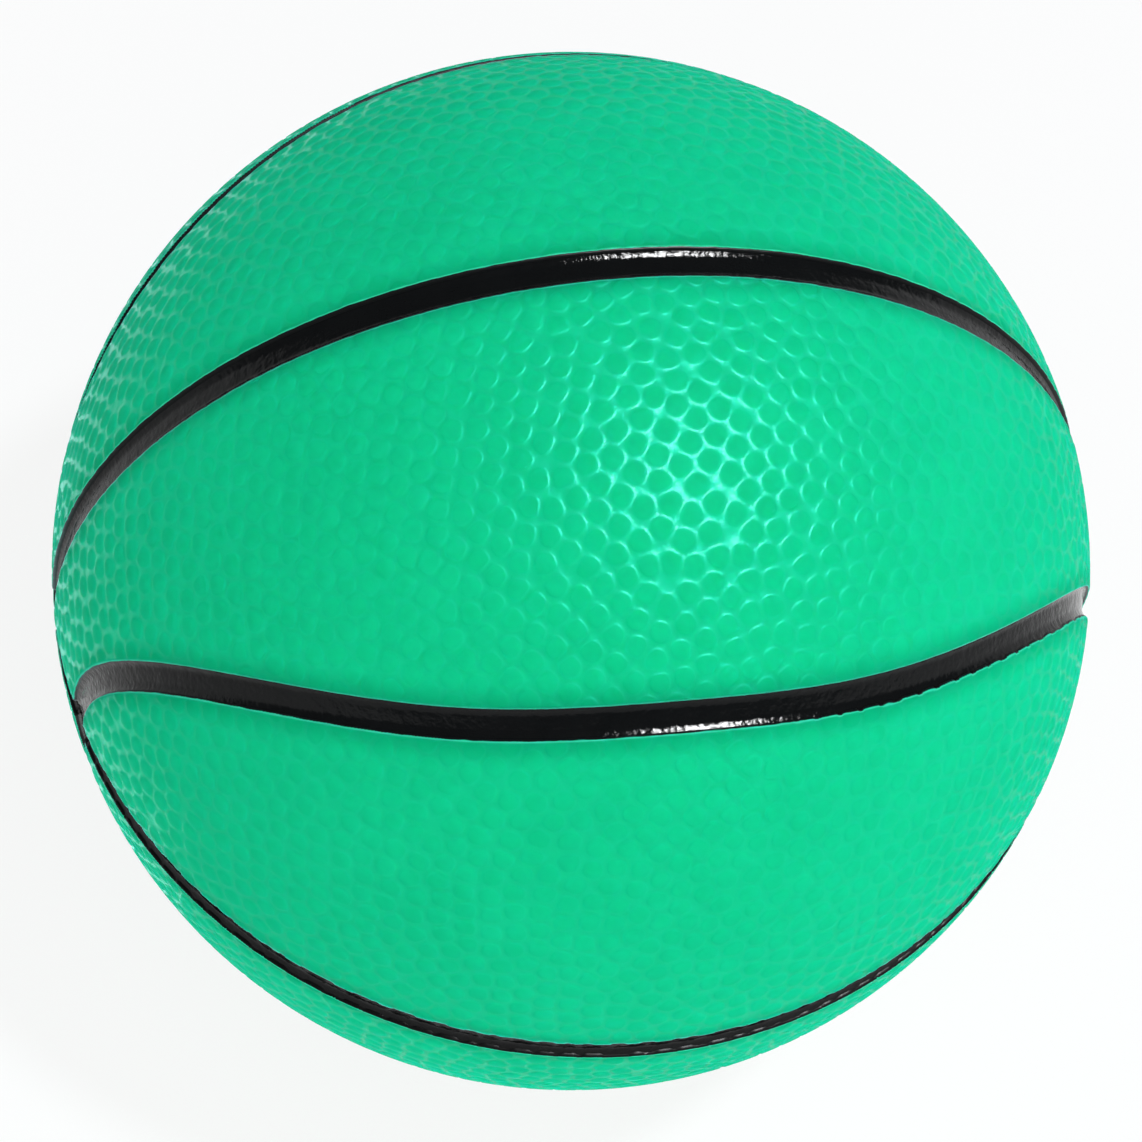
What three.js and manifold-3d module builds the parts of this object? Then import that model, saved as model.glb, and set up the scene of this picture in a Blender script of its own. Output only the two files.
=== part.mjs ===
// Mini rubber basketball: eight cover panels and the black channel strips between them, on a
// carcass, a thread winding and a bladder with a needle valve.
// Millimetres, +Z up, origin at the centre of the ball. The Y axis runs through the middles of
// the two oval channels, and the valve faces +Y. The centre channel lies in the plane y = 0 and
// the cross channel in the plane z = 0.

import * as THREE from 'three';
import { mergeVertices, toCreasedNormals } from 'three/addons/utils/BufferGeometryUtils.js';
import Module from 'manifold-3d';

const wasm = await Module();
wasm.setup();

// Cover panels and the channels between them, measured along the surface of the ball
const BALL_DIAMETER = 127;
const CHANNEL_WIDTH = 3.5;
const CHANNEL_DEPTH = 0.8;
const PANEL_RIM = 0.4; // bevelled edge of a panel along its channels
const SADDLE_END_WIDTH = 12; // saddle panel at the cross channel
const SADDLE_SHOULDER_WIDTH = 34.6; // an eighth of a turn from there
const SADDLE_MIDDLE_WIDTH = 46.4; // a quarter of a turn from there

// Channel strips
const STRIP_THICKNESS = 0.8; // under the floor of a channel
const STRIP_FLOOR_WIDTH = 1.8; // flat floor between the sloping flanks

// Plies under the cover
const CARCASS_THICKNESS = 0.7;
const WINDING_THICKNESS = 0.5;
const BLADDER_THICKNESS = 0.9;

// Valve core, a plug with a blind needle hole
const CORE_HEAD_DIAMETER = 6;
const CORE_HEAD_THICKNESS = 1;
const CORE_STEM_DIAMETER = 4;
const CORE_LENGTH = 12;
const CORE_TIP_BEVEL = 0.8;
const NEEDLE_HOLE_DIAMETER = 2;
const NEEDLE_HOLE_DEPTH = 4;
const NEEDLE_LEAD_IN = 0.4; // countersink at the mouth of the needle hole

// Valve body, a flanged tube
const NECK_WALL = 0.75; // round the head of the core
const NOSE_WALL = 1.4; // round the stem of the core, under the flange
const NOSE_TIP_WALL = 0.8;
const NOSE_OVERHANG = 1; // past the end of the core
const FLANGE_REACH = 7; // from the neck to the edge of the flange
const FLANGE_THICKNESS = 1.2; // at the nose
const FLANGE_EDGE = 0.5;

// Clearances
const SEAM_CLEARANCE = 0.2; // strip to panel and strip to strip
const PLY_CLEARANCE = 0.3; // ply to ply, and flange to bladder
const NECK_CLEARANCE = 0.3; // valve neck to what it passes through
const CORE_CLEARANCE = 0.25; // valve core to valve body

// Facets
const HALF_TURN_STEPS = 24; // even number of panel and strip steps in half a turn
const PANEL_STEPS = 5; // across a panel
const CARCASS_STEPS = 14; // pole to pole
const LINER_STEPS = 12; // pole to pole, winding and bladder
const VALVE_STEPS = 24; // round the valve
const CREASE = THREE.MathUtils.degToRad(25);

// Finishes
const GREEN_RUBBER = { color: 0x14c88c, roughness: 0.55 };
const BLACK_GLOSS_RUBBER = { color: 0x141415, roughness: 0.3 };
const CARCASS_RUBBER = { color: 0x3a3835, roughness: 0.8 };
const NYLON_THREAD = { color: 0xd9d3c2, roughness: 0.7 };
const BUTYL_RUBBER = { color: 0x1d1d1f, roughness: 0.6 };
const VALVE_RUBBER = { color: 0x19191a, roughness: 0.5 };

// Radii of the cover, from the crown of the panels to the underside of panels and strips
const crownRadius = BALL_DIAMETER / 2;
const floorRadius = crownRadius - CHANNEL_DEPTH;
const seatRadius = floorRadius - STRIP_THICKNESS;
const channelHalf = CHANNEL_WIDTH / 2;
const stripHalf = channelHalf - SEAM_CLEARANCE;
const floorHalf = STRIP_FLOOR_WIDTH / 2;
const turnStep = Math.PI / HALF_TURN_STEPS;

// Angle at the centre of the ball of a length along its surface
function surfaceAngle(length) {
  return length / crownRadius;
}

// How far the middle of a square facet lies inside the sphere that holds its corners
function facetSag(radius, stepAcross, stepAlong) {
  return radius * (1 - Math.cos(Math.hypot(stepAcross, stepAlong) / 2));
}

// Radii of the plies, each inside the facets of the one around it
const panelSag = facetSag(seatRadius, turnStep, surfaceAngle(SADDLE_MIDDLE_WIDTH) / PANEL_STEPS);
const carcassRadius = seatRadius - panelSag - PLY_CLEARANCE;
const carcassInside = carcassRadius - CARCASS_THICKNESS;
const carcassSag = facetSag(carcassInside, Math.PI / CARCASS_STEPS, Math.PI / CARCASS_STEPS);
const windingRadius = carcassInside - carcassSag - PLY_CLEARANCE;
const bladderRadius = windingRadius - WINDING_THICKNESS - PLY_CLEARANCE;
const bladderInside = bladderRadius - BLADDER_THICKNESS;

// Radii and heights of the valve, whose face is level with the channel floor
const headRadius = CORE_HEAD_DIAMETER / 2;
const stemRadius = CORE_STEM_DIAMETER / 2;
const headBore = headRadius + CORE_CLEARANCE;
const stemBore = stemRadius + CORE_CLEARANCE;
const neckRadius = headBore + NECK_WALL;
const neckHole = neckRadius + NECK_CLEARANCE;
const coreEnd = floorRadius - CORE_LENGTH;

// The oval channel's angle from the Y axis, at a turn about that axis from +X towards +Z
const tipAngle = Math.PI / 2 - surfaceAngle(SADDLE_END_WIDTH + CHANNEL_WIDTH);
const shoulderAngle = Math.PI / 2 - surfaceAngle(SADDLE_SHOULDER_WIDTH + CHANNEL_WIDTH);
const sideAngle = Math.PI / 2 - surfaceAngle(SADDLE_MIDDLE_WIDTH + CHANNEL_WIDTH);
const meanAngle = (tipAngle + sideAngle) / 2;
const stretch = (tipAngle - sideAngle) / 2;
const squareness = (meanAngle - shoulderAngle) / 2;

function ovalAngle(turn) {
  return meanAngle - squareness + stretch * Math.cos(2 * turn) + squareness * Math.cos(4 * turn);
}

function ovalSlope(turn) {
  return -2 * stretch * Math.sin(2 * turn) - 4 * squareness * Math.sin(4 * turn);
}

// Unit direction at an angle from +Y and a turn about it
function direction(angle, turn) {
  const spread = Math.sin(angle);
  return new THREE.Vector3(spread * Math.cos(turn), Math.cos(angle), spread * Math.sin(turn));
}

// Direction at a distance from the middle of the oval channel, positive away from +Y
function besideOval(turn, distance) {
  const angle = ovalAngle(turn);
  const across = direction(angle + Math.PI / 2, turn).multiplyScalar(Math.sin(angle));
  across.addScaledVector(direction(Math.PI / 2, turn + Math.PI / 2), -ovalSlope(turn)).normalize();
  const reach = surfaceAngle(distance);
  return direction(angle, turn).multiplyScalar(Math.cos(reach)).addScaledVector(across, Math.sin(reach));
}

// Direction at a distance from the middle of the centre channel, positive towards +Y
function besideCentre(turn, distance) {
  return direction(Math.PI / 2 - surfaceAngle(distance), turn);
}

// Direction at a distance above the cross channel and an angle along it from +Y towards +X
function besideCross(angle, distance) {
  const rise = surfaceAngle(distance);
  const level = Math.cos(rise);
  return new THREE.Vector3(level * Math.sin(angle), level * Math.cos(angle), Math.sin(rise));
}

// Turn at which a line beside the oval channel comes to a distance above the cross channel
function ovalTurn(distance, aboveCross) {
  const height = Math.sin(surfaceAngle(aboveCross));
  let low = 0;
  let high = Math.PI / 4;
  for (let halving = 0; halving < 40; halving++) {
    const middle = (low + high) / 2;
    if (besideOval(middle, distance).z < height) low = middle;
    else high = middle;
  }
  return low;
}

// Turn at which a line beside the centre channel comes to a distance above the cross channel
function centreTurn(distance, aboveCross) {
  return Math.asin(Math.sin(surfaceAngle(aboveCross)) / Math.cos(surfaceAngle(distance)));
}

// One closed body with shared corners, no empty faces and every face turned outwards
function closedBody(geometry) {
  geometry.deleteAttribute('normal');
  geometry.deleteAttribute('uv');
  const body = mergeVertices(geometry);
  const corners = body.getAttribute('position');
  const [a, b, c] = [0, 1, 2].map(() => new THREE.Vector3());
  const faces = [];
  let volume = 0;
  for (let i = 0; i < body.index.count; i += 3) {
    const face = [0, 1, 2].map((k) => body.index.getX(i + k));
    if (new Set(face).size < 3) continue;
    [a, b, c].forEach((corner, k) => corner.fromBufferAttribute(corners, face[k]));
    volume += a.dot(b.cross(c));
    faces.push(face);
  }
  const outward = volume > 0 ? faces : faces.map((face) => face.reverse());
  body.setIndex(outward.flat());
  return body;
}

// Solid through a row of rings. A ring is a line of points on top and the same number of points
// underneath, back again. Open rows end in flat caps, or in a tip where the ring is one point wide.
function sweep(rings, { loop = false, tips = false } = {}) {
  const count = rings[0].length;
  const faces = [];
  const quad = (p, q, r, s) => faces.push(p, q, r, p, r, s);
  for (let i = 0; i < rings.length - (loop ? 0 : 1); i++) {
    const here = i * count;
    const next = ((i + 1) % rings.length) * count;
    for (let j = 0; j < count; j++) {
      const k = (j + 1) % count;
      quad(here + j, here + k, next + k, next + j);
    }
  }
  if (!loop && !tips) {
    const last = (rings.length - 1) * count;
    for (let j = 0; j < count / 2 - 1; j++) {
      const under = count - 1 - j;
      quad(j, under, under - 1, j + 1);
      quad(last + j, last + j + 1, last + under - 1, last + under);
    }
  }
  const geometry = new THREE.BufferGeometry();
  const places = rings.flat().flatMap((point) => point.toArray());
  geometry.setAttribute('position', new THREE.Float32BufferAttribute(places, 3));
  geometry.setIndex(faces);
  return closedBody(geometry);
}

// Body of revolution about the Y axis, from pairs of radius and height
function revolve(profile, steps) {
  return closedBody(new THREE.LatheGeometry(profile.map(([r, y]) => new THREE.Vector2(r, y)), steps));
}

// Mirror image across the planes whose axis has a sign of -1
function mirrored(geometry, x, y, z) {
  return closedBody(geometry.clone().scale(x, y, z));
}

function toManifold(geometry) {
  const vertProperties = new Float32Array(geometry.getAttribute('position').array);
  const triVerts = new Uint32Array(geometry.index.array);
  return new wasm.Manifold(new wasm.Mesh({ numProp: 3, vertProperties, triVerts }));
}

function cut(geometry, tool) {
  const mesh = toManifold(geometry).subtract(toManifold(tool)).getMesh();
  const result = new THREE.BufferGeometry();
  result.setAttribute('position', new THREE.Float32BufferAttribute(mesh.vertProperties, 3));
  result.setIndex([...mesh.triVerts]);
  return closedBody(result);
}

// Ring across a panel. Each edge gives the direction at a distance from its own channel's middle.
function panelRing(startEdge, endEdge, crownDrop) {
  const start = startEdge(channelHalf + PANEL_RIM);
  const end = endEdge(channelHalf + PANEL_RIM);
  const crown = [];
  for (let i = 0; i <= PANEL_STEPS; i++) {
    crown.push(start.clone().lerp(end, i / PANEL_STEPS).normalize());
  }
  const ways = [startEdge(channelHalf), ...crown, endEdge(channelHalf)];
  const top = ways.map((way, i) => {
    const drop = i === 0 || i === ways.length - 1 ? PANEL_RIM : crownDrop;
    return way.clone().multiplyScalar(crownRadius - drop);
  });
  const underside = ways.map((way) => way.clone().multiplyScalar(seatRadius)).reverse();
  return [...top, ...underside];
}

// Rows of a panel from one end to the middle, carried on to the other end as a mirror image
function bothEnds(rows) {
  const mirror = (point) => new THREE.Vector3(-point.x, point.y, point.z);
  return [...rows, ...rows.slice(0, -1).reverse().map((ring) => ring.map(mirror))];
}

// Saddle panel at the back and top: oval channel to centre channel, ends at the cross channel
function saddlePanel() {
  const endRow = (aboveCross, drop) => panelRing(
    (distance) => besideOval(ovalTurn(distance, aboveCross), distance),
    (distance) => besideCentre(centreTurn(distance, aboveCross), distance),
    drop,
  );
  const rows = [endRow(channelHalf, PANEL_RIM), endRow(channelHalf + PANEL_RIM, 0)];
  for (let step = 1; step <= HALF_TURN_STEPS / 2; step++) {
    const turn = step * turnStep;
    const fromOval = (distance) => besideOval(turn, distance);
    const fromCentre = (distance) => besideCentre(turn, distance);
    rows.push(panelRing(fromOval, fromCentre, 0));
  }
  return sweep(bothEnds(rows));
}

// Half-oval panel at the back and top: oval channel to cross channel, ends in two corners
function halfOvalPanel() {
  const corner = (distance) => besideOval(ovalTurn(-distance, distance), -distance);
  const rows = [panelRing(corner, corner, 0)];
  for (let step = 1; step <= HALF_TURN_STEPS / 2; step++) {
    const fromOval = (distance) => besideOval(step * turnStep, -distance);
    const fromCross = (distance) => {
      const level = Math.cos(surfaceAngle(distance));
      return besideCross(Math.asin(fromOval(distance).x / level), distance);
    };
    rows.push(panelRing(fromOval, fromCross, 0));
  }
  return sweep(bothEnds(rows), { tips: true });
}

// Radius of the channel surface at a distance from the middle of the nearest channel
function channelSurface(distance) {
  const rise = THREE.MathUtils.clamp((distance - floorHalf) / (channelHalf - floorHalf), 0, 1);
  return THREE.MathUtils.lerp(floorRadius, crownRadius - PANEL_RIM, rise);
}

// Ring across a strip. Its flanks come down to the floor where the cross channel runs through.
function stripRing(beside) {
  const offsets = [-stripHalf, -floorHalf, floorHalf, stripHalf];
  const top = offsets.map((offset) => {
    const way = beside(offset);
    const toCross = crownRadius * Math.asin(Math.abs(way.z));
    return way.multiplyScalar(channelSurface(Math.min(Math.abs(offset), toCross)));
  });
  const underside = offsets.map((offset) => beside(offset).multiplyScalar(seatRadius)).reverse();
  return [...top, ...underside];
}

// Strip all round the Y axis, with extra rings at the floor and edges of the cross channel
function ringStrip(beside) {
  const turns = [];
  for (const crossing of [0, Math.PI]) {
    const spread = Math.sin(Math.acos(beside(crossing, 0).y));
    for (const edge of [-channelHalf, -floorHalf, floorHalf, channelHalf]) {
      turns.push(crossing + Math.asin(Math.sin(surfaceAngle(edge)) / spread));
    }
    for (let step = 1; step < HALF_TURN_STEPS; step++) turns.push(crossing + step * turnStep);
  }
  turns.sort((p, q) => p - q);
  return sweep(turns.map((turn) => stripRing((offset) => beside(turn, offset))), { loop: true });
}

// Length of the cross strip between two angles from +Y
function crossStrip(from, to) {
  const steps = Math.ceil((to - from) / turnStep);
  const rings = [];
  for (let step = 0; step <= steps; step++) {
    const angle = THREE.MathUtils.lerp(from, to, step / steps);
    rings.push(stripRing((offset) => besideCross(angle, offset)));
  }
  return sweep(rings);
}

// Hollow ball with a hole for the valve neck at +Y
function ply(radius, thickness, steps) {
  const arc = (r, from, to) => Array.from({ length: steps + 1 }, (_, i) => {
    const angle = THREE.MathUtils.lerp(from, to, i / steps);
    return [r * Math.sin(angle), r * Math.cos(angle)];
  });
  const inside = radius - thickness;
  const outerArc = arc(radius, Math.PI, Math.asin(neckHole / radius));
  const innerArc = arc(inside, Math.asin(neckHole / inside), Math.PI);
  return revolve([...outerArc, ...innerArc], 2 * steps);
}

// Valve body: neck through the wall, flange on the inside of the bladder, nose round the core
function valveBody() {
  const flangeRadius = bladderInside - PLY_CLEARANCE;
  const flangeTop = (reach) => Math.sqrt(flangeRadius ** 2 - reach ** 2)
    - facetSag(bladderInside, Math.PI / LINER_STEPS, 0);
  const flangeEdge = neckRadius + FLANGE_REACH;
  const flangeMiddle = neckRadius + FLANGE_REACH / 2;
  const noseRadius = stemBore + NOSE_WALL;
  const noseEnd = coreEnd - NOSE_OVERHANG;
  const headSeat = floorRadius - CORE_HEAD_THICKNESS - CORE_CLEARANCE;
  return revolve([
    [headBore, floorRadius],
    [neckRadius, floorRadius],
    [neckRadius, flangeTop(neckRadius)],
    [flangeMiddle, flangeTop(flangeMiddle)],
    [flangeEdge, flangeTop(flangeEdge)],
    [flangeEdge, flangeTop(flangeEdge) - FLANGE_EDGE],
    [noseRadius, flangeTop(noseRadius) - FLANGE_THICKNESS],
    [stemBore + NOSE_TIP_WALL, noseEnd],
    [stemBore, noseEnd],
    [stemBore, headSeat],
    [headBore, headSeat],
    [headBore, floorRadius],
  ], VALVE_STEPS);
}

// Valve core: head in the neck, stem in the nose, needle hole closed at its inner end
function valveCore() {
  const needleRadius = NEEDLE_HOLE_DIAMETER / 2;
  const holeEnd = floorRadius - NEEDLE_HOLE_DEPTH;
  const headUnderside = floorRadius - CORE_HEAD_THICKNESS;
  return revolve([
    [0, holeEnd],
    [needleRadius, holeEnd],
    [needleRadius, floorRadius - NEEDLE_LEAD_IN],
    [needleRadius + NEEDLE_LEAD_IN, floorRadius],
    [headRadius, floorRadius],
    [headRadius, headUnderside],
    [stemRadius, headUnderside],
    [stemRadius, coreEnd + CORE_TIP_BEVEL],
    [stemRadius - CORE_TIP_BEVEL, coreEnd],
    [0, coreEnd],
  ], VALVE_STEPS);
}

const ball = new THREE.Group();

function addPiece(name, geometry, finish) {
  const material = new THREE.MeshStandardMaterial({ metalness: 0, ...finish });
  const mesh = new THREE.Mesh(toCreasedNormals(geometry, CREASE), material);
  mesh.name = name;
  ball.add(mesh);
}

// Cover panels, four of each shape; the two beside the valve are cut round its neck
const ends = { front: -1, back: 1 };
const levels = { top: 1, bottom: -1 };
const sides = { right: 1, left: -1 };
const neckCutter = revolve([[0, 0], [neckHole, 0], [neckHole, BALL_DIAMETER], [0, BALL_DIAMETER]], VALVE_STEPS);
const saddle = saddlePanel();
const halfOval = halfOvalPanel();
for (const [end, y] of Object.entries(ends)) {
  for (const [level, z] of Object.entries(levels)) {
    addPiece(`saddle_panel_${end}_${level}`, mirrored(saddle, 1, y, z), GREEN_RUBBER);
    const panel = mirrored(halfOval, 1, y, z);
    const fitted = end === 'back' ? cut(panel, neckCutter) : panel;
    addPiece(`half_oval_panel_${end}_${level}`, fitted, GREEN_RUBBER);
  }
}

// Channel strips: three rings, and the cross strip in seven lengths between them
const besideTip = surfaceAngle(channelHalf);
const valveEnd = Math.asin(neckHole / seatRadius);
const outsideOval = crossStrip(tipAngle + besideTip, Math.PI / 2 - besideTip);
const besideValve = crossStrip(valveEnd, tipAngle - besideTip);
const ovalRing = ringStrip(besideOval);
addPiece('centre_ring_strip', ringStrip(besideCentre), BLACK_GLOSS_RUBBER);
for (const [end, y] of Object.entries(ends)) {
  addPiece(`oval_ring_strip_${end}`, mirrored(ovalRing, 1, y, 1), BLACK_GLOSS_RUBBER);
  for (const [side, x] of Object.entries(sides)) {
    addPiece(`cross_strip_${end}_${side}`, mirrored(outsideOval, x, y, 1), BLACK_GLOSS_RUBBER);
  }
}
const acrossOval = crossStrip(besideTip - tipAngle, tipAngle - besideTip);
addPiece('cross_strip_front_oval', mirrored(acrossOval, 1, ends.front, 1), BLACK_GLOSS_RUBBER);
for (const [side, x] of Object.entries(sides)) {
  addPiece(`cross_strip_valve_${side}`, mirrored(besideValve, x, 1, 1), BLACK_GLOSS_RUBBER);
}

// Plies and valve
addPiece('carcass_shell', ply(carcassRadius, CARCASS_THICKNESS, CARCASS_STEPS), CARCASS_RUBBER);
addPiece('thread_winding', ply(windingRadius, WINDING_THICKNESS, LINER_STEPS), NYLON_THREAD);
addPiece('bladder', ply(bladderRadius, BLADDER_THICKNESS, LINER_STEPS), BUTYL_RUBBER);
addPiece('valve_body', valveBody(), VALVE_RUBBER);
addPiece('valve_core', valveCore(), VALVE_RUBBER);

export default ball;
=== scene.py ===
import math
from functools import partial

import bpy
import numpy as np
from mathutils import Matrix, Vector
from mathutils.geometry import delaunay_2d_cdt
from mathutils.kdtree import KDTree


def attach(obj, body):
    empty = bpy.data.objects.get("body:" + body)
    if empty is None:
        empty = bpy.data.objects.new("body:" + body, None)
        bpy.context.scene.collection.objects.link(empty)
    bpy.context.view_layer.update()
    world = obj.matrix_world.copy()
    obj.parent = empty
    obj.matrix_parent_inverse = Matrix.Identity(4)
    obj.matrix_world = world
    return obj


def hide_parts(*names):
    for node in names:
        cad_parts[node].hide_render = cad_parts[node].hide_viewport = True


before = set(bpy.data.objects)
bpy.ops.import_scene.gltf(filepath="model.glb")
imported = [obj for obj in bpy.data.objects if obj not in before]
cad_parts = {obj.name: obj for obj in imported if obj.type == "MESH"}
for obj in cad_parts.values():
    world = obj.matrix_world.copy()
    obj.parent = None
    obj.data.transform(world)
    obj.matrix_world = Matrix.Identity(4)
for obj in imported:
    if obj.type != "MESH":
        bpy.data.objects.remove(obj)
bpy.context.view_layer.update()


# Bladder
# The bag of black butyl rubber that holds the air. It is moulded in one piece and dusted with talc,
# so that the thread wound over it can settle, and the plies around it hide it.

butyl_black = (0.010, 0.010, 0.011, 1)
talc_grey = (0.075, 0.073, 0.070, 1)
butyl_relief = 0.00003


class Shade:
    """A shader socket that takes part in Python sums. Numbers are set on a node, shades are linked."""

    def __init__(self, tree, socket=None):
        self.tree = tree
        self.socket = socket

    def node(self, kind, settings=None, inputs=None, output=0):
        """A new node: its settings come first, then the values or links of its sockets."""
        made = self.tree.nodes.new(kind)
        for name, value in (settings or {}).items():
            setattr(made, name, value)
        for name, value in (inputs or {}).items():
            if isinstance(value, Shade):
                self.tree.links.new(value.socket, made.inputs[name])
            else:
                made.inputs[name].default_value = value
        return Shade(self.tree, made.outputs[output] if made.outputs else None)

    def maths(self, operation, *values):
        return self.node("ShaderNodeMath", {"operation": operation}, dict(enumerate(values)))

    def __add__(self, other):
        return self.maths("ADD", self, other)

    def __radd__(self, other):
        return self.maths("ADD", other, self)

    def __sub__(self, other):
        return self.maths("SUBTRACT", self, other)

    def __rsub__(self, other):
        return self.maths("SUBTRACT", other, self)

    def __mul__(self, other):
        return self.maths("MULTIPLY", self, other)

    def __rmul__(self, other):
        return self.maths("MULTIPLY", other, self)

    def fade(self, low, high):
        """0 below low, 1 above high, and smooth between them."""
        span = {"Value": self, "From Min": low, "From Max": high}
        return self.node("ShaderNodeMapRange", {"interpolation_type": "SMOOTHSTEP"}, span)

    def blend(self, share, first, second):
        """The first colour where share is 0 and the second where it is 1."""
        return self.node("ShaderNodeMix", {"data_type": "RGBA"}, {0: share, 6: first, 7: second}, 2)

    def place(self):
        return self.node("ShaderNodeTexCoord", output="Object")

    def spread(self, label):
        """A value that the mesh holds at each of its points."""
        return self.node("ShaderNodeAttribute", {"attribute_name": label}, output="Fac")

    def noise(self, scale, detail=2.0):
        """Soft mottling from 0 to 1, with about scale patches to a metre."""
        inputs = {"Vector": self.place(), "Scale": scale, "Detail": detail}
        return self.node("ShaderNodeTexNoise", inputs=inputs)

    def relief(self, height, depth):
        """Fine relief, with depth in metres for a height of 1."""
        inputs = {"Height": height, "Distance": depth}
        return self.node("ShaderNodeBump", inputs=inputs, output="Normal")

    def skin(self, **sockets):
        """One surface, with _ for each space in the name of a socket."""
        inputs = {name.replace("_", " "): value for name, value in sockets.items()}
        return self.node("ShaderNodeBsdfPrincipled", inputs=inputs)

    def mix(self, share, first, second):
        """The first surface where share is 0 and the second where it is 1."""
        return self.node("ShaderNodeMixShader", inputs={0: share, 1: first, 2: second})

    def show(self, surface):
        self.node("ShaderNodeOutputMaterial", inputs={"Surface": surface})


def new_finish(name):
    """An empty material and the shade that its nodes are made from."""
    material = bpy.data.materials.new(name)
    material.use_nodes = True
    material.node_tree.nodes.clear()
    return material, Shade(material.node_tree)


def dress(node, material):
    """Puts a finish on a piece that keeps its own solid."""
    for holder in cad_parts[node].material_slots:
        holder.material = material


butyl, shade = new_finish("butyl rubber")
talc = shade.noise(220.0, 5.0).fade(0.45, 0.75)
shade.show(shade.skin(
    Base_Color=shade.blend(talc, butyl_black, talc_grey),
    Roughness=0.55 + 0.3 * talc,
    Normal=shade.relief(shade.noise(2600.0), butyl_relief),
))
dress("bladder", butyl)


# Valve body
# A flanged tube of black rubber, moulded by itself and vulcanised into the wall of the bladder. Its
# neck comes out through the plies and stands level with the channel floor on the far side.

crown = 0.0635  # radius of the ball over the panels; heights here are from the centre of the ball
channel_depth = 0.0008
floor_radius = crown - channel_depth
neck_radius = 0.0040
neck_hole = 0.0043  # radius of the hole in the wall round the neck
neck_foot = 0.0569
head_bore = 0.00325
head_seat = 0.06145
stem_bore = 0.00225
flange_bend = (0.0075, 0.05655)  # radius and height where the flange turns down
flange_radius = 0.0110
flange_rim = 0.05599
flange_edge = 0.0005
nose_root = (0.00365, 0.05575)
nose_tip_radius = 0.00305
nose_end = 0.0497
bore_rounding = 0.0002
neck_rounding = 0.00035
valve_black = (0.009, 0.009, 0.010, 1)
valve_bloom = (0.024, 0.024, 0.024, 1)
valve_relief = 0.00002


def make_piece(name, points, faces, material, node, slot):
    """A smooth mesh that stands for a node of the solid model."""
    mesh = bpy.data.meshes.new(name)
    mesh.from_pydata(points, [], faces)
    mesh.materials.append(material)
    mesh.polygons.foreach_set("use_smooth", np.ones(len(mesh.polygons), dtype=bool))
    piece = bpy.data.objects.new(name, mesh)
    bpy.context.collection.objects.link(piece)
    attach(piece, "root")
    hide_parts(node)
    return piece


def rounded(profile, corners, steps=4):
    """The profile with some of its corners rounded: corners is {index: radius}."""
    line = []
    for index, corner in enumerate(profile):
        corner = np.array(corner)
        radius = corners.get(index)
        if radius is None:
            line.append(corner)
            continue
        back = np.array(profile[index - 1]) - corner
        ahead = np.array(profile[(index + 1) % len(profile)]) - corner
        start = corner + back / np.linalg.norm(back) * radius
        end = corner + ahead / np.linalg.norm(ahead) * radius
        for share in np.linspace(0, 1, steps + 1):
            line.append((1 - share) ** 2 * start + 2 * share * (1 - share) * corner + share ** 2 * end)
    return line


def turned(profile, steps=72):
    """A closed profile of (radius, height) turned about the Y axis."""
    points, faces = [], []
    count = len(profile)
    for turn in np.linspace(0, 2 * math.pi, steps, endpoint=False):
        points += [(r * math.sin(turn), y, r * math.cos(turn)) for r, y in profile]
    for step in range(steps):
        here, there = step * count, (step + 1) % steps * count
        for index in range(count):
            ahead = (index + 1) % count
            faces.append((here + index, here + ahead, there + ahead, there + index))
    return points, faces


valve_rubber, shade = new_finish("valve rubber")
bloom = shade.noise(900.0, 4.0)
shade.show(shade.skin(
    Base_Color=shade.blend(bloom.fade(0.4, 0.8), valve_black, valve_bloom),
    Roughness=0.38 + 0.25 * bloom,
    Normal=shade.relief(shade.noise(5200.0), valve_relief),
))
valve_body_line = rounded([
    (head_bore, floor_radius), (neck_radius, floor_radius), (neck_radius, neck_foot), flange_bend,
    (flange_radius, flange_rim), (flange_radius, flange_rim - flange_edge), nose_root,
    (nose_tip_radius, nose_end), (stem_bore, nose_end), (stem_bore, head_seat), (head_bore, head_seat),
], {0: bore_rounding, 1: neck_rounding})
make_piece("valve_body_moulded", *turned(valve_body_line), valve_rubber, "valve_body", "valve_rubber")


# Thread winding
# Nylon thread drawn through latex and wound round the bladder in every direction, many thousand
# turns of it, which set into one thin ply and keep the ball round.

latex_amber = (0.42, 0.37, 0.27, 1)
nylon_white = (0.74, 0.71, 0.62, 1)
thread_relief = 0.0002

nylon, shade = new_finish("nylon thread in latex")
turns = []
for axis in ("X", "Y", "Z"):
    band = {"Vector": shade.place(), "Scale": 420.0, "Distortion": 2.5, "Detail": 1.0}
    turns.append(shade.node("ShaderNodeTexWave", {"bands_direction": axis}, band, "Fac"))
lay = shade.maths("MAXIMUM", shade.maths("MAXIMUM", turns[0], turns[1]), turns[2])
shade.show(shade.skin(
    Base_Color=shade.blend(lay, latex_amber, nylon_white),
    Roughness=0.75 - 0.2 * lay,
    Normal=shade.relief(lay, thread_relief),
))
dress("thread_winding", nylon)


# Carcass
# The shell of dark rubber moulded over the winding, which the panels and the channel strips are laid
# on and cured to. Its surface is buffed dull, so that they bond.

carcass_black = (0.004, 0.004, 0.004, 1)
buffed_grey = (0.014, 0.014, 0.013, 1)
buffing_relief = 0.00008

carcass_rubber, shade = new_finish("buffed carcass rubber")
buffing = shade.noise(1500.0, 6.0)
shade.show(shade.skin(
    Base_Color=shade.blend(buffing, carcass_black, buffed_grey),
    Roughness=0.7 + 0.25 * buffing,
    Normal=shade.relief(buffing, buffing_relief),
))
dress("carcass_shell", carcass_rubber)


# Channel strips
# Ribbons of glossy black rubber laid between the panels in one ring round the middle, two ovals and a
# ring across them, and cured in the mould, which presses a trough with sloping flanks along each.

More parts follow.
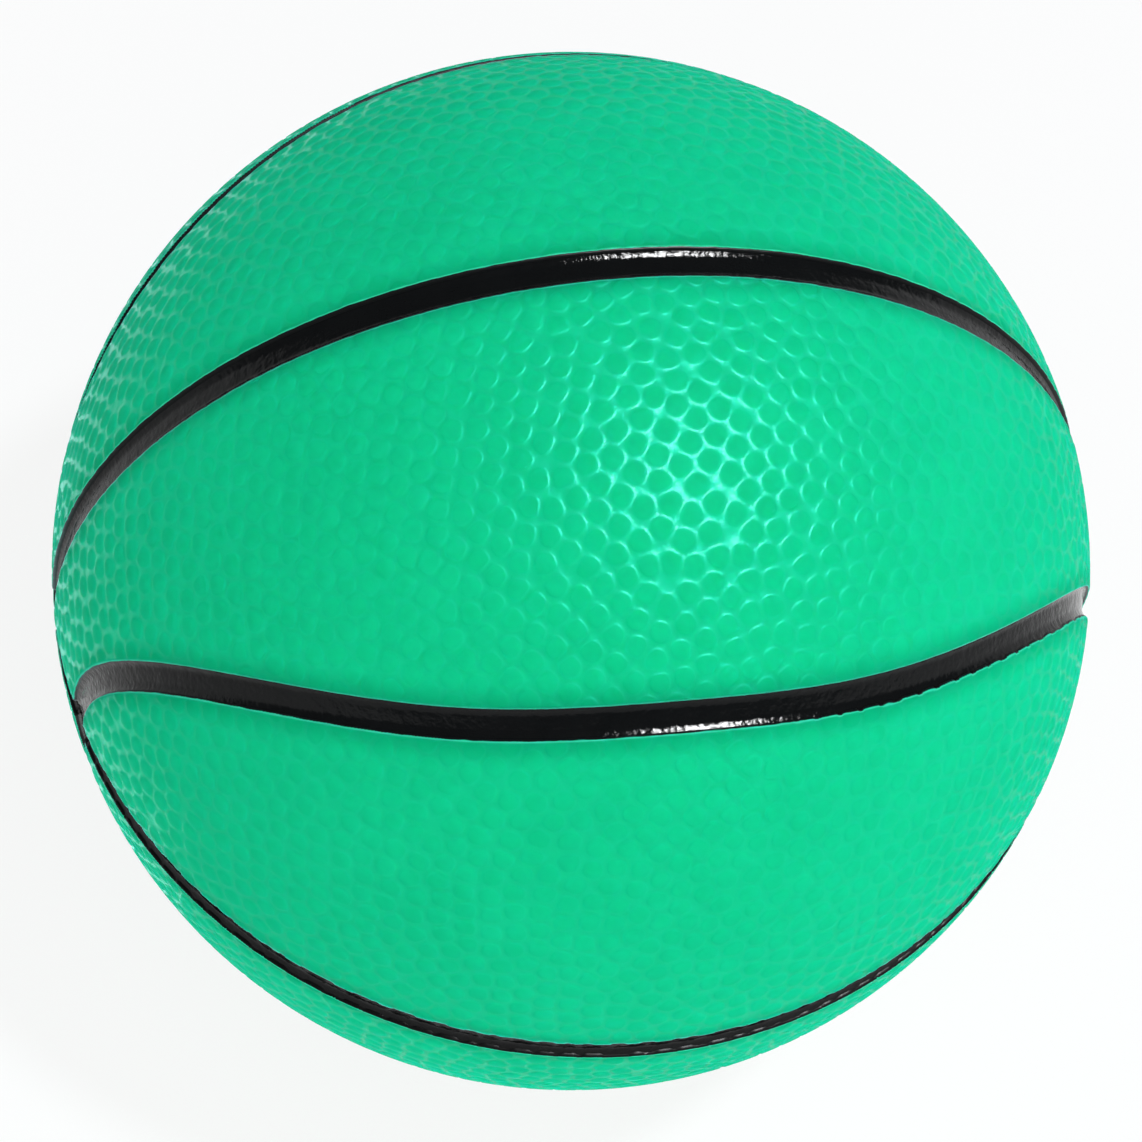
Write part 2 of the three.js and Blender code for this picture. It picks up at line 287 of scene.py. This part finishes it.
channel_width = 0.0035
channel_half = channel_width / 2
floor_half = 0.0009
flank_rise = 0.00040
flank_curve = 1.4
seat_radius = 0.0619  # underside of the strips and the panels
strip_half = 0.00210  # the edges of a ribbon are tucked into the panels
strip_points = 19
strip_spacing = 0.0004
crossing_steps = 24
front_steps = 400
valve_side_steps = 180
saddle_end_width = 0.0120  # width of a saddle panel at the cross channel
saddle_shoulder_width = 0.0346  # an eighth of a turn from there
saddle_middle_width = 0.0464  # a quarter of a turn from there
channel_black = (0.0028, 0.0032, 0.0035, 1)
channel_scuffed = (0.0055, 0.0060, 0.0063, 1)
channel_relief = 0.00008

tip_angle = math.pi / 2 - (saddle_end_width + channel_width) / crown
shoulder_angle = math.pi / 2 - (saddle_shoulder_width + channel_width) / crown
side_angle = math.pi / 2 - (saddle_middle_width + channel_width) / crown
mean_angle = (tip_angle + side_angle) / 2
stretch = (tip_angle - side_angle) / 2
squareness = (mean_angle - shoulder_angle) / 2


def oval_angle(turn):
    """Angle of the oval channel from the Y axis, at a turn about it from +X towards +Z."""
    return mean_angle - squareness + stretch * np.cos(2 * turn) + squareness * np.cos(4 * turn)


def oval_slope(turn):
    """Rate at which that angle changes with the turn."""
    return -2 * stretch * np.sin(2 * turn) - 4 * squareness * np.sin(4 * turn)


def direction(angle, turn):
    """Unit vector at an angle from +Y and a turn about it."""
    angle, turn = np.broadcast_arrays(angle, turn)
    return np.stack([np.sin(angle) * np.cos(turn), np.cos(angle), np.sin(angle) * np.sin(turn)], -1)


def unit(vectors):
    return vectors / np.linalg.norm(vectors, axis=-1, keepdims=True)


def beside_oval(turn, distance):
    """Direction at a distance from the middle of the oval channel, positive away from +Y."""
    turn, distance = np.broadcast_arrays(turn, distance)
    angle = oval_angle(turn)
    along = oval_slope(turn)[..., None] * direction(math.pi / 2, turn + math.pi / 2)
    across = unit(np.sin(angle)[..., None] * direction(angle + math.pi / 2, turn) - along)
    reach = (distance / crown)[..., None]
    return np.cos(reach) * direction(angle, turn) + np.sin(reach) * across


def beside_centre(turn, distance):
    """Direction at a distance from the middle of the centre channel, positive towards +Y."""
    return direction(math.pi / 2 - distance / crown, turn)


def beside_cross(angle, distance):
    """Direction at a distance above the cross channel and an angle along it from +Y towards +X."""
    angle, rise = np.broadcast_arrays(angle, distance / crown)
    return np.stack([np.cos(rise) * np.sin(angle), np.cos(rise) * np.cos(angle), np.sin(rise)], -1)


def from_oval(points):
    """Distance of each direction from the nearer oval channel, positive on its saddle side."""
    points = points * np.where(points[:, 1:2] < 0, (1, -1, 1), (1, 1, 1))
    angle = np.arccos(np.clip(points[:, 1], -1, 1))
    start = np.arctan2(points[:, 2], points[:, 0])
    turn = start.copy()
    for _ in range(4):
        nearest = oval_angle(turn)
        slope = oval_slope(turn)
        tangent = slope[:, None] * direction(nearest + math.pi / 2, turn)
        tangent += np.sin(nearest)[:, None] * direction(math.pi / 2, turn + math.pi / 2)
        offset = points - direction(nearest, turn)
        turn += (offset * tangent).sum(1) / (tangent ** 2).sum(1)
    gap = np.linalg.norm(points - direction(oval_angle(turn), turn), axis=1)
    return 2 * np.arcsin(np.clip(gap / 2, 0, 1)) * crown * np.sign(angle - oval_angle(start))


def from_channels(points):
    """Distances of each direction from the middles of the centre, cross and oval channels."""
    centre = np.abs(np.arcsin(np.clip(points[:, 1], -1, 1))) * crown
    cross = np.abs(np.arcsin(np.clip(points[:, 2], -1, 1))) * crown
    return centre, cross, np.abs(from_oval(points))


def trough(points):
    """Radius of the strips' surface, the deepest of the channels that cross at each direction."""
    nearest = np.min(from_channels(points), axis=0)
    flank = np.clip((nearest - floor_half) / (channel_half - floor_half), 0, None)
    return floor_radius + flank_rise * flank ** flank_curve


channel_rubber, shade = new_finish("glossy channel rubber")
grain = shade.noise(1800.0, 3.0)
waves = shade.noise(700.0, 2.0)
scuff = shade.noise(240.0, 3.0)
shade.show(shade.skin(
    Base_Color=shade.blend(scuff, channel_black, channel_scuffed),
    Roughness=0.05 + 0.08 * scuff,
    Specular_IOR_Level=0.12,
    Normal=shade.relief(waves + 0.8 * grain, channel_relief),
))


def strip(name, beside, along, looped, mirror):
    """A ribbon along a channel, with the trough on top and its seat underneath."""
    across = np.linspace(-strip_half, strip_half, strip_points)
    grid = beside(along[:, None], across[None, :]) * np.array(mirror)
    stations = len(along)
    top = grid * trough(grid.reshape(-1, 3)).reshape(stations, strip_points, 1)
    under = grid[:, [-1, 0]] * seat_radius
    rings = np.concatenate([top, under], axis=1)
    count = rings.shape[1]
    faces = []
    for step in range(stations if looped else stations - 1):
        here, there = step * count, (step + 1) % stations * count
        for index in range(count):
            ahead = (index + 1) % count
            faces.append((here + index, here + ahead, there + ahead, there + index))
    if not looped:
        faces.append(tuple(range(count - 1, -1, -1)))
        faces.append(tuple(range((stations - 1) * count, stations * count)))
    sideways = rings[0, 2] - rings[0, 1]
    forward = rings[1, 1] - rings[0, 1]
    faces_out = np.dot(np.cross(sideways, forward), grid[0, 1]) > 0
    if not faces_out:
        faces = [face[::-1] for face in faces]
    make_piece(name + "_moulded", rings.reshape(-1, 3), faces, channel_rubber, name, "channel_rubber")


ring_steps = round(2 * math.pi * crown / strip_spacing)
full_turn = np.linspace(0, 2 * math.pi, ring_steps, endpoint=False)
strip_reach = strip_half / crown
valve_end = math.asin(neck_hole / floor_radius)
strip("centre_ring_strip", beside_centre, full_turn, True, (1, 1, 1))
for end, y in (("front", -1), ("back", 1)):
    strip("oval_ring_strip_" + end, beside_oval, full_turn, True, (1, y, 1))
    for side, x in (("right", 1), ("left", -1)):
        run = np.linspace(tip_angle + strip_reach, math.pi / 2 - strip_reach, crossing_steps)
        strip(f"cross_strip_{end}_{side}", beside_cross, run, False, (x, y, 1))
run = np.linspace(strip_reach - tip_angle, tip_angle - strip_reach, front_steps)
strip("cross_strip_front_oval", beside_cross, run, False, (1, -1, 1))
for side, x in (("right", 1), ("left", -1)):
    run = np.linspace(valve_end, tip_angle - strip_reach, valve_side_steps)
    strip("cross_strip_valve_" + side, beside_cross, run, False, (x, 1, 1))


# Cover panels
# Eight panels of green rubber, four saddles and four half ovals, cured onto the carcass in a mould
# that presses pebbles into them. The tops are rubbed matt and the valleys keep their gloss; the
# valleys' green is painted a little lighter to offset their shade. Black rubber from the channels
# laps over the panel edges, and that black is partly painted shade on the channel walls. Beside it
# the edges carry a painted pale highlight, the green has painted shade towards the channels, and the
# edges are scalloped in part.

edge_half = 0.00165  # from the middle of a channel to the edge of a panel
laps = (0.00030, 0.00025, 0.00010)  # width of the black lap at the centre, cross and oval channels, partly painted shade on the walls
pebbles = 7000
pebble_height = 0.000095
pebble_limit = 0.00145  # largest radius of a pebble
pebble_corner = 6  # higher for sharper corners
web = 0.00046  # valley between two pebbles
pitch = math.sqrt(4 * math.pi / pebbles)
scatter = 0.22 * pitch
settled_gap = 1.08 * pitch
settling_rounds = 14
settling_step = 0.28
skew_axis = (0.31, 0.52, 0.80)  # along no axis of the ball
ring_reach = (0.86, 0.93, 1.00, 1.07, 1.12)  # rings of points round a pebble, in its own radius
ring_level = (1.0, 0.86, 0.44, 0.06, 0.0)  # their height, 1 on the top and 0 in the valley
ring_count = 12
rim_inset = (0.0, 0.00009, 0.00021, 0.00042)  # lines of points along the edge of a panel
rim_drop = (0.00042, 0.00016, 0.00005, 0.0)  # how far they lie below the top
rim_relief = (0.0, 0.1, 0.3, 0.7)  # how much of the pebbles' relief they have
rim_clearance = 0.00010
scallop = 0.00018  # depth of a scallop in the edge of a half-oval panel
scallop_band = 0.003  # the edges this near the cross channel are scalloped all along
scallop_start = 0.1  # the rest are from here to the right, in radii of the ball
scallop_full = 0.3
edge_spacing = 0.00036
sheet_axis = (0.2, 0.9, 0.4)  # through the middle of no panel
weld = 1e-7  # points closer than this are one

rng = np.random.default_rng(5)
order = np.arange(pebbles) + 0.5
rise = 1 - 2 * order / pebbles
golden = order * math.pi * (3 - math.sqrt(5))
girth = np.sqrt(1 - rise ** 2)
centres = np.stack([girth * np.cos(golden), rise, girth * np.sin(golden)], 1)
centres = unit(centres + rng.normal(0, scatter, centres.shape))


def neighbours(points, count):
    """A search tree of the points, and the nearest others to each of them."""
    tree = KDTree(len(points))
    for index, point in enumerate(points):
        tree.insert(point, index)
    tree.balance()
    itself_and_nearest = [[found[1] for found in tree.find_n(point, count + 1)] for point in points]
    return tree, np.array(itself_and_nearest)[:, 1:]


for _ in range(settling_rounds):
    tree, near = neighbours(centres, 7)
    apart = centres[:, None] - centres[near]
    length = np.linalg.norm(apart, axis=2, keepdims=True)
    push = apart / length * np.clip(settled_gap - length, 0, None)
    centres = unit(centres + settling_step * push.sum(1))
tree, near = neighbours(centres, 8)

east = unit(np.cross(centres, skew_axis))
north = np.cross(centres, east)
apart = centres[near] - centres[:, None]
bearing = np.arctan2((apart * north[:, None]).sum(2), (apart * east[:, None]).sum(2))
half_gap = (np.linalg.norm(apart, axis=2) * crown - web) / 2


def pebble_reach(index, heading):
    """Radius of a pebble in a heading, a round-cornered cell between its neighbours."""
    facing = np.clip(np.cos(heading[:, None] - bearing[index]), 0, None)
    sides = ((facing / half_gap[index]) ** pebble_corner).sum(1)
    return (sides + pebble_limit ** -pebble_corner) ** (-1 / pebble_corner)


def pebble_level(points):
    """1 on the top of a pebble and 0 in the valley round it."""
    index = np.array([tree.find(point)[1] for point in points])
    offset = points - centres[index]
    run, climb = (offset * east[index]).sum(1), (offset * north[index]).sum(1)
    reach = pebble_reach(index, np.arctan2(climb, run))
    return np.interp(np.hypot(run, climb) * crown / reach, ring_reach, ring_level)


spots, levels = [centres], [np.full(pebbles, 1.0)]
everyone = np.arange(pebbles)
phase = rng.uniform(0, 2 * math.pi, pebbles)
for ring, (share, height) in enumerate(zip(ring_reach, ring_level)):
    for point in range(ring_count):
        heading = phase + 2 * math.pi * (point + 0.5 * (ring % 2)) / ring_count
        distance = (pebble_reach(everyone, heading) * share / crown)[:, None]
        bound = np.cos(heading)[:, None] * east + np.sin(heading)[:, None] * north
        spots.append(np.cos(distance) * centres + np.sin(distance) * bound)
        levels.append(np.full(pebbles, height))
spots, levels = np.concatenate(spots), np.concatenate(levels)


def edge_distance(points):
    """Distance of each direction from the nearest panel edge, positive on a panel."""
    gap = np.min(from_channels(points), axis=0) - edge_half
    from_valve = np.hypot(points[:, 0], points[:, 2]) * crown - neck_hole
    return np.where(points[:, 1] > 0, np.minimum(gap, from_valve), gap)


spot_edge = edge_distance(spots)
spot_side = from_oval(spots)


def oval_end(distance, above, halvings=40):
    """Turn at which a line beside the oval channel is that far above the cross channel."""
    low, high = 0.0, 0.6
    for _ in range(halvings):
        middle = (low + high) / 2
        if beside_oval(middle, distance)[2] < math.sin(above / crown):
            low = middle
        else:
            high = middle
    return low


def paced(start, end, length):
    """Even steps from start to end, as many as points on a side of that length."""
    return np.linspace(start, end, max(4, round(length / edge_spacing)), endpoint=False)


def saddle_edge(inset):
    """Edge of the saddle panel at +Y and +Z, drawn in by an inset."""
    centre_side, oval_side = 0.196, 0.170
    beside = edge_half + inset
    turn = math.asin(math.tan(beside / crown))
    oval_turn = oval_end(beside, beside)
    tip = math.acos(beside_oval(oval_turn, beside)[1] / math.cos(beside / crown))
    corner = math.acos(math.sin(beside / crown) / math.cos(beside / crown))
    end_side = (corner - tip) * crown
    return np.concatenate([
        beside_centre(paced(turn, math.pi - turn, centre_side), beside),
        beside_cross(-paced(corner, tip, end_side), beside),
        beside_oval(paced(math.pi - oval_turn, oval_turn, oval_side), beside),
        beside_cross(paced(tip, corner, end_side), beside),
    ])


def half_oval_edge(inset, with_valve):
    """Edge of the half-oval panel at +Y and +Z, drawn in by an inset."""
    oval_side, cross_side, cross_side_to_valve, valve_side = 0.166, 0.160, 0.077, 0.011
    beside = edge_half + inset
    oval_turn = oval_end(-beside, beside)
    tip = math.acos(beside_oval(oval_turn, -beside)[1] / math.cos(beside / crown))
    oval = beside_oval(paced(oval_turn, math.pi - oval_turn, oval_side), -beside)
    if not with_valve:
        return np.concatenate([oval, beside_cross(paced(-tip, tip, cross_side), beside)])
    round_valve = (neck_hole + inset) / crown
    swing = math.asin(math.sin(beside / crown) / round_valve)
    stop = math.asin(round_valve * math.cos(swing) / math.cos(beside / crown))
    turns = paced(math.pi - swing, swing, valve_side)
    depth = np.full(len(turns), math.sqrt(1 - round_valve ** 2))
    arc = np.stack([round_valve * np.cos(turns), depth, round_valve * np.sin(turns)], 1)
    left = beside_cross(paced(-tip, -stop, cross_side_to_valve), beside)
    right = beside_cross(paced(stop, tip, cross_side_to_valve), beside)
    return np.concatenate([oval, left, arc, right])


def scalloped(line, drawn):
    """The line, drawn in towards another where it cuts through a valley between pebbles."""
    beside_cross_channel = np.abs(line[:, 2]) * crown < scallop_band
    to_the_right = np.interp(line[:, 0], (scallop_start, scallop_full), (0, 1))
    share = np.where(beside_cross_channel, 1, to_the_right) * (1 - pebble_level(unit(line + drawn)))
    return unit(line + share[:, None] * (drawn - line))


def sheet(flat_points, fence):
    """Triangles between the points, inside a fence that joins the first of them in a loop."""
    found = delaunay_2d_cdt([Vector(point) for point in flat_points], fence, [], 1, weld)
    triangles, origins = found[2], found[3]
    source = [ids[0] for ids in origins]
    return [[source[index] for index in triangle] for triangle in triangles]


panel_rubber, shade = new_finish("pebbled panel rubber")


def panel(name, edge, inside, mirror, drawn_in):
    """A panel within an edge, with pebbles on top and a smooth lining underneath."""
    mirror = np.array(mirror)
    loops = []
    for inset in rim_inset:
        loop = edge(inset) * mirror
        loops.append(scalloped(loop, edge(inset + drawn_in) * mirror) if drawn_in else loop)
    middle = unit(loops[0].mean(0))
    right = unit(np.cross(middle, sheet_axis))
    ahead = np.cross(middle, right)

    def flat(points):
        scale = 2 / (1 + points @ middle)
        return np.stack([points @ right * scale, points @ ahead * scale], 1)

    outline = flat(loops[0])
    following = np.roll(outline, -1, axis=0)
    if (outline[:, 0] * following[:, 1] - outline[:, 1] * following[:, 0]).sum() < 0:
        loops = [loop[::-1] for loop in loops]
    chosen = inside & (spot_edge > rim_inset[-1] + drawn_in + rim_clearance)
    rim = len(loops[0])
    fence = [(index, (index + 1) % rim) for index in range(rim)]
    points = np.concatenate(loops + [spots[chosen]])
    rim_level = [1 - relief * (1 - pebble_level(loop)) for loop, relief in zip(loops, rim_relief)]
    tops = np.concatenate(rim_level + [levels[chosen]])
    counts = [len(loop) for loop in loops]
    drops = np.concatenate([np.repeat(rim_drop, counts), np.zeros(chosen.sum())])
    edges = np.concatenate([np.repeat(rim_inset, counts), spot_edge[chosen]])
    bare = edges - np.array(laps)[np.argmin(from_channels(points), axis=0)]
    radius = crown - pebble_height * (1 - tops) - drops
    lining = np.concatenate([loops[0], centres[chosen[:pebbles]]])
    base = len(points)
    outer = sheet(flat(points), fence)
    inner = [[base + index for index in face[::-1]] for face in sheet(flat(lining), fence)]
    wall = [(base + a, base + b, b, a) for a, b in fence]
    corners = np.concatenate([points * radius[:, None], lining * seat_radius])
    faces = outer + inner + wall
    piece = make_piece(name + "_pebbled", corners, faces, panel_rubber, name, "panel_rubber")
    unseen = np.zeros(len(lining))
    for label, values in (("valley", 1 - tops), ("edge", edges), ("bare", bare)):
        held = piece.data.attributes.new(label, "FLOAT", "POINT")
        held.data.foreach_set("value", np.concatenate([values, unseen]).astype(np.float32))
    return piece


green_dark = (0.0046, 0.525, 0.238, 1)
green_light = (0.0054, 0.585, 0.267, 1)
green_valley_painted_light = (0.0050, 0.585, 0.267, 1)
green_painted_shade_by_channel = (0.0020, 0.330, 0.140, 1)
green_painted_rim_highlight = (0.035, 0.660, 0.340, 1)
gloss_tint = (0.06, 1.0, 0.92, 1)
lap_and_wall_shade_black = (0.0030, 0.0034, 0.0037, 1)
lap_and_wall_shade_dusty = (0.0050, 0.0056, 0.0060, 1)
painted_shade_by_channel = (-0.0010, 0.0034)  # distances from the panel edge between which the painted shade beside the channels fades out
painted_rim_highlight = (0.00005, 0.00025)  # and from the lap, between which the painted pale highlight along the edge ends
lap_edge = (0.00006, 0.00012)  # and between which the lap ends
lap_waver = 0.00016
gloss_relief = 0.00002
valley_coat = 0.34
valley_gloss = 0.021

valley = shade.spread("valley")
bare = shade.spread("bare")
# the black lap over the panel edges is partly real and partly painted shade on the walls of the channels
lapped = 1.0 - (bare + lap_waver * shade.noise(600.0, 3.0)).fade(*lap_edge)
mottle = 0.5 * shade.noise(70.0, 4.0) + 0.5 * shade.noise(520.0, 4.0)
green = shade.blend(mottle.fade(0.3, 0.7), green_dark, green_light)
# painted light: the valleys' green is drawn a little lighter, to offset the shade that falls in them
green = shade.blend(0.4 * valley, green, green_valley_painted_light)
# painted shade: the green darkens within a few millimetres of the channels
green = shade.blend(shade.spread("edge").fade(*painted_shade_by_channel), green_painted_shade_by_channel, green)
# painted highlight: a pale line along the panel edges beside the black
green = shade.blend(bare.fade(*painted_rim_highlight), green_painted_rim_highlight, green)
body = shade.skin(
    Base_Color=green,
    Roughness=0.6,
    Specular_IOR_Level=0.005,
    Subsurface_Weight=1.0,
    Subsurface_Radius=(0.3, 1.0, 0.8),
    Subsurface_Scale=0.0045,
    Coat_Weight=valley_coat * valley.fade(0.45, 0.90),
    Coat_Roughness=0.2,
    Coat_IOR=1.12,
)
gloss = shade.skin(
    Base_Color=gloss_tint,
    Metallic=1.0,
    Roughness=0.41,
    Normal=shade.relief(shade.noise(4200.0, 3.0), gloss_relief),
)
lap_and_wall_shade = shade.skin(
    Base_Color=shade.blend(mottle, lap_and_wall_shade_black, lap_and_wall_shade_dusty),
    Roughness=0.38,
    Specular_IOR_Level=0.12,
)
cover_green = shade.mix(valley_gloss * valley.fade(0.10, 0.50), body, gloss)
shade.show(shade.mix(lapped, cover_green, lap_and_wall_shade))

cover = []
for end, y in (("front", -1), ("back", 1)):
    for height, z in (("top", 1), ("bottom", -1)):
        here = (spots[:, 1] * y > 0) & (spots[:, 2] * z > 0)
        name = f"saddle_panel_{end}_{height}"
        cover.append(panel(name, saddle_edge, here & (spot_side > 0), (1, y, z), 0))
        name = f"half_oval_panel_{end}_{height}"
        oval_cut = partial(half_oval_edge, with_valve=y > 0)
        cover.append(panel(name, oval_cut, here & (spot_side < 0), (1, y, z), scallop))


# Valve core
# A plug of soft black rubber pushed into the valve body with a little glycerine. A pump needle goes in
# through the hole in its head and parts the lips below, which close again behind it.

core_axis = 0.00001
needle_hole = 0.0010
needle_mouth = 0.0014
needle_lead_in = 0.0623
needle_end = 0.0587
head_radius = 0.0030
head_under = 0.0617
stem_radius = 0.0020
stem_bevel = 0.0515
core_tip_radius = 0.0012
core_end = 0.0507
mouth_rounding = 0.00015
head_rounding = 0.0003

valve_core_line = rounded([
    (core_axis, needle_end), (needle_hole, needle_end), (needle_hole, needle_lead_in),
    (needle_mouth, floor_radius), (head_radius, floor_radius), (head_radius, head_under),
    (stem_radius, head_under), (stem_radius, stem_bevel), (core_tip_radius, core_end),
    (core_axis, core_end),
], {3: mouth_rounding, 4: head_rounding})
make_piece("valve_core_moulded", *turned(valve_core_line), valve_rubber, "valve_core", "valve_rubber")


# Floor
# A plain studio floor painted white, level with the lowest point of the ball, which runs on past every
# view. It keeps itself white to the eye, least close to the ball, so that the shadow shows there, and
# wholly far away, where it runs into the white of the walls.

floor_reach = 6.0
floor_white = (0.95, 0.95, 0.95, 1)
contact_shadow = (0.006, 0.042)  # distances from the foot of the ball
far_floor = (0.15, 1.5)
own_white = 0.2  # share of the floor's white that is its own, at the foot of the ball
own_white_near = 0.66  # more of it past the contact shadow
own_white_far = 0.14  # and the rest of it far away

floor_corners = [(x * floor_reach, y * floor_reach, 0) for x, y in ((-1, -1), (1, -1), (1, 1), (-1, 1))]
floor_mesh = bpy.data.meshes.new("floor")
floor_mesh.from_pydata(floor_corners, [], [(0, 1, 2, 3)])
floor = bpy.data.objects.new("floor", floor_mesh)
floor.location.z = -crown
bpy.context.collection.objects.link(floor)
white, shade = new_finish("white floor")
looked_at = shade.node("ShaderNodeLightPath", output="Is Camera Ray")
glossy = shade.node("ShaderNodeLightPath", output="Is Glossy Ray")
through = shade.node("ShaderNodeLightPath", output="Is Transmission Ray")
seen = shade.maths("MAXIMUM", looked_at, shade.maths("MAXIMUM", glossy, through))
paint = shade.node("ShaderNodeBsdfDiffuse", inputs={"Color": floor_white})
glow = shade.node("ShaderNodeEmission", inputs={"Color": (1, 1, 1, 1), "Strength": 1.0})
from_foot = shade.node("ShaderNodeVectorMath", {"operation": "LENGTH"}, {0: shade.place()}, "Value")
near_white = own_white_near * from_foot.fade(*contact_shadow)
far_white = own_white_far * from_foot.fade(*far_floor)
lit = own_white + near_white + far_white
shade.show(shade.mix(lit * seen, paint, glow))
floor_mesh.materials.append(white)


# Light
# A small soft box up to the right of the camera, a wide fill behind the camera, and a studio with white
# walls and a dim ceiling. A reflector in front of the soft box, for the highlight, and a low card on the
# floor behind the ball show only in gloss, and the card only in that of the panels.

ceiling_dim = 0.88
ceiling_rise = (0.14, 0.36)
white_light = (1, 1, 1)
key_tint = (0.86, 0.94, 1.0)
card_tint = (0.5, 1.0, 1.0)
card_place = (-0.11, 0.11, 0.001 - crown)
view_azimuth = math.radians(-18.49)
view_elevation = math.radians(58.24)
view_roll = math.radians(-11.63)

world = bpy.data.worlds.new("studio")
bpy.context.scene.world = world
world.use_nodes = True
world.node_tree.nodes.clear()
shade = Shade(world.node_tree)
sky = shade.node("ShaderNodeTexCoord", output="Generated")
height = shade.node("ShaderNodeSeparateXYZ", inputs={"Vector": sky}, output="Z")
walls = 1.0 - ceiling_dim * height.fade(*ceiling_rise)
studio = shade.node("ShaderNodeBackground", inputs={"Color": (1, 1, 1, 1), "Strength": walls})
shade.node("ShaderNodeOutputWorld", inputs={"Surface": studio})

level = math.cos(view_elevation)
rise = math.sin(view_elevation)
back = Vector((math.sin(view_azimuth) * level, -math.cos(view_azimuth) * level, rise))
level_right = Vector((math.cos(view_azimuth), math.sin(view_azimuth), 0))
level_up = back.cross(level_right)
right = level_right * math.cos(view_roll) - level_up * math.sin(view_roll)
up = level_up * math.cos(view_roll) + level_right * math.sin(view_roll)


def soft_box(name, place, aim, size, power, colour, on_matt, in_gloss):
    """A round soft box at a place, turned to aim, that lights matt surfaces, gloss or both."""
    lamp = bpy.data.lights.new(name, "AREA")
    lamp.shape = "DISK"
    lamp.size = size
    lamp.energy = power
    lamp.color = colour
    holder = bpy.data.objects.new(name, lamp)
    bpy.context.collection.objects.link(holder)
    holder.location = place
    holder.rotation_euler = aim.to_track_quat("-Z", "Y").to_euler()
    holder.visible_camera = False
    holder.visible_diffuse = on_matt
    holder.visible_glossy = in_gloss
    return holder


key = (0.404 * right + 0.346 * up + 0.845 * back).normalized()
soft_box("key light", 0.9 * key, -key, size=0.10, power=4.7, colour=key_tint, on_matt=True, in_gloss=True)
soft_box("key reflector", 0.88 * key, -key, size=0.30, power=20.0, colour=white_light,
         on_matt=False, in_gloss=True)
fill = (0.10 * right - 0.10 * up + back).normalized()
soft_box("fill light", 1.2 * fill, -fill, size=1.2, power=7.6, colour=white_light,
         on_matt=True, in_gloss=False)
card = soft_box("low card", card_place, Vector((0, 0, 1)), size=0.28, power=0.47, colour=card_tint,
                on_matt=False, in_gloss=True)
card.light_linking.receiver_collection = bpy.data.collections.new("panels")
for piece in cover:
    card.light_linking.receiver_collection.objects.link(piece)


# Camera
# Above and in front of the ball, a little to its left, and tilted as the photograph is. The lens is as
# long as makes the ball as wide in the picture as it is there.

distance = 5.8 * crown
photo_width = 1142
ball_width = 1038.6  # in pixels of the photograph
lens = bpy.data.cameras.new("camera")
lens.sensor_width = 36.0
lens.lens = ball_width / photo_width * math.sqrt((distance / crown) ** 2 - 1) * lens.sensor_width / 2
lens.clip_start = 0.01
camera = bpy.data.objects.new("camera", lens)
bpy.context.collection.objects.link(camera)
facing = Matrix((right, up, back)).transposed().to_4x4()
camera.matrix_world = Matrix.Translation(back * distance) @ facing
bpy.context.scene.camera = camera
bpy.context.scene.view_settings.view_transform = "Standard"
